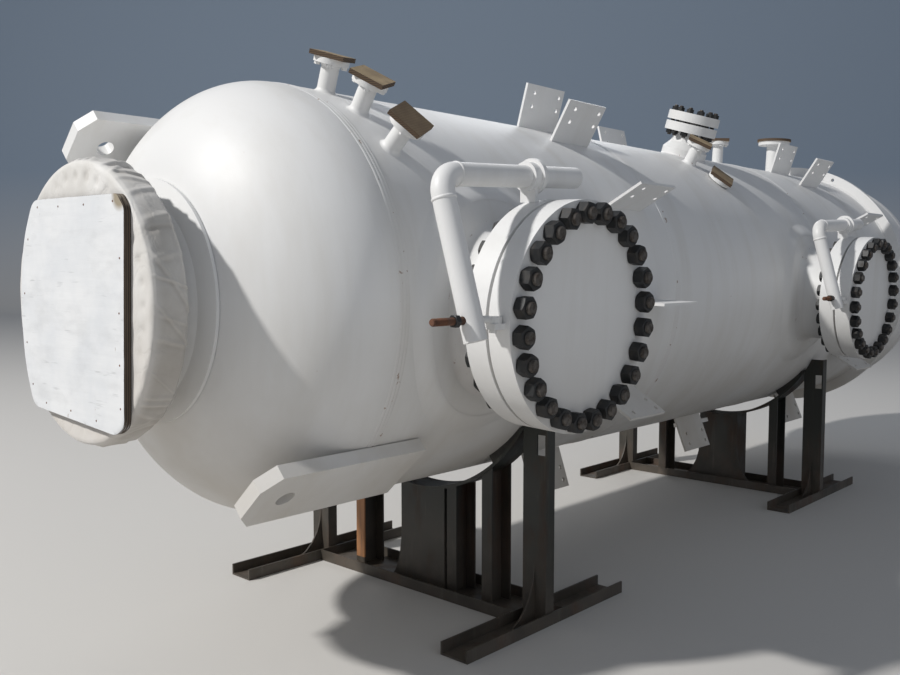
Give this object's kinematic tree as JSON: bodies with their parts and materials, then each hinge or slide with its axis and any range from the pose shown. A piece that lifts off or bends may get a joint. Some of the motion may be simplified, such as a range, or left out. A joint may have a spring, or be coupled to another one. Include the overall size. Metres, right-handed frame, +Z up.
{
  "type": "pressure vessel on transport cradles",
  "caption": "Horizontal white steel pressure vessel with domed ends, bolted side manways on davits, covered nozzles, lifting lugs and platform clips, resting on steel transport cradles.",
  "frame": {"origin": "on the ground under the vessel axis, in the middle plane of the near cradle, on its cross channel", "axes": "+X along the vessel away from the wrapped end nozzle, +Z up, manways facing -Y"},
  "size_m": [7.9179, 2.4163, 2.8262],
  "materials": {
    "vessel_paint": "gloss",
    "cradle_paint": "satin",
    "tarpaulin": "matte",
    "painted_board": "matte",
    "bare_plywood": "matte",
    "gasket": "matte",
    "rusty_steel": "matte",
    "packing_rubber": "matte"
  },
  "bodies": {
    "root": {"shell_course_near": "vessel_paint", "shell_course_mid": "vessel_paint", "shell_course_far": "vessel_paint", "near_head": "vessel_paint", "far_head": "vessel_paint", "end_nozzle": "vessel_paint", "end_nozzle_pad": "vessel_paint", "outlet_nozzle": "vessel_paint", "lifting_lug_near": "vessel_paint", "lifting_lug_far": "vessel_paint", "manway_1_nozzle": "vessel_paint", "manway_1_pad": "vessel_paint", "manway_1_cover": "vessel_paint", "manway_1_davit": "vessel_paint", "manway_1_davit_sleeve": "vessel_paint", "manway_2_nozzle": "vessel_paint", "manway_2_pad": "vessel_paint", "manway_2_cover": "vessel_paint", "manway_2_davit": "vessel_paint", "manway_2_davit_sleeve": "vessel_paint", "front_nozzles": "vessel_paint", "mid_nozzles": "vessel_paint", "covered_nozzle": "vessel_paint", "blanked_nozzle": "vessel_paint", "nozzle_blank": "vessel_paint", "drain_nozzle": "vessel_paint", "platform_clips_1": "vessel_paint", "platform_clips_2": "vessel_paint", "riser_clips": "vessel_paint", "support_ring": "vessel_paint", "end_wrap": "tarpaulin", "end_board": "painted_board", "outlet_cover": "bare_plywood", "nozzle_boards": "bare_plywood", "manway_1_gasket": "gasket", "manway_2_gasket": "gasket", "manway_1_eye_bolt": "rusty_steel", "manway_2_eye_bolt": "rusty_steel", "cradle_1_band": "cradle_paint", "cradle_1_legs": "cradle_paint", "cradle_1_base": "cradle_paint", "cradle_1_packing": "packing_rubber", "cradle_2_band": "cradle_paint", "cradle_2_legs": "cradle_paint", "cradle_2_base": "cradle_paint", "cradle_2_packing": "packing_rubber"}
  },
  "joints": []
}
